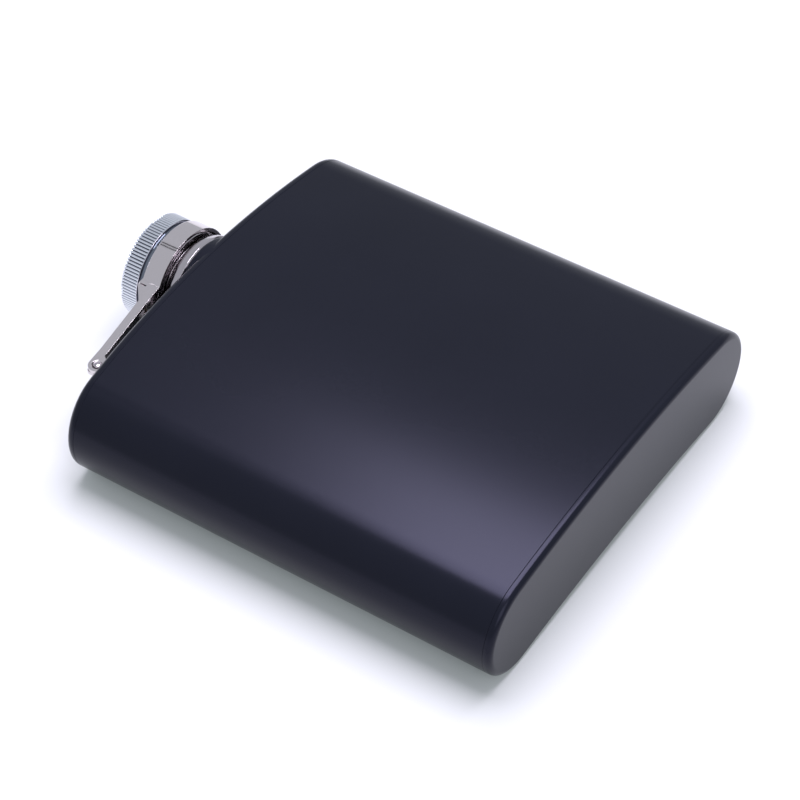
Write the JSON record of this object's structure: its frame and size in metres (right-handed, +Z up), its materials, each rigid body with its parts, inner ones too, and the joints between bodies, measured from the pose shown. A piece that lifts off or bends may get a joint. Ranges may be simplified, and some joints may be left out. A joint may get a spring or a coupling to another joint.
{
  "type": "hip flask",
  "caption": "Flat curved pocket flask with a powder-coated steel body, a welded neck, and a knurled screw cap held by a hinged arm.",
  "frame": {"origin": "on the surface the flask lies on, under the middle of its length and width, with the flask on its back", "axes": "+Z up, out of the rounded front; +Y from the base towards the cap; +X to the right seen from the front with the cap up, away from the hinge"},
  "size_m": [0.095, 0.1142, 0.0247],
  "materials": {
    "powder_coat": "matte black powder coat",
    "stainless": "polished stainless steel",
    "chrome_plate": "bright chrome plate, knurled",
    "nylon": "natural nylon",
    "silicone": "translucent white silicone"
  },
  "bodies": {
    "body": {"body_wrap": "powder_coat", "base_plate": "powder_coat", "top_plate": "powder_coat", "neck": "stainless", "hinge_bracket": "stainless", "hinge_pin": "stainless"},
    "arm": {"cap_arm": "stainless"},
    "cap": {"cap_head": "chrome_plate", "cap_sleeve": "stainless", "cap_retaining_collar": "stainless", "swivel_washer": "nylon", "cap_seal": "silicone"}
  },
  "joints": [
    {"name": "arm_swing", "type": "hinge", "parent": "body", "child": "arm", "pos_m": [-0.0308, 0.04526, 0.01295], "axis": [0, 0, 1], "range_deg": [0, 180]},
    {"name": "cap_spin", "type": "hinge", "parent": "arm", "child": "cap", "pos_m": [0.0022, 0.05, 0.01295], "axis": [0, 1, 0], "continuous": true}
  ]
}
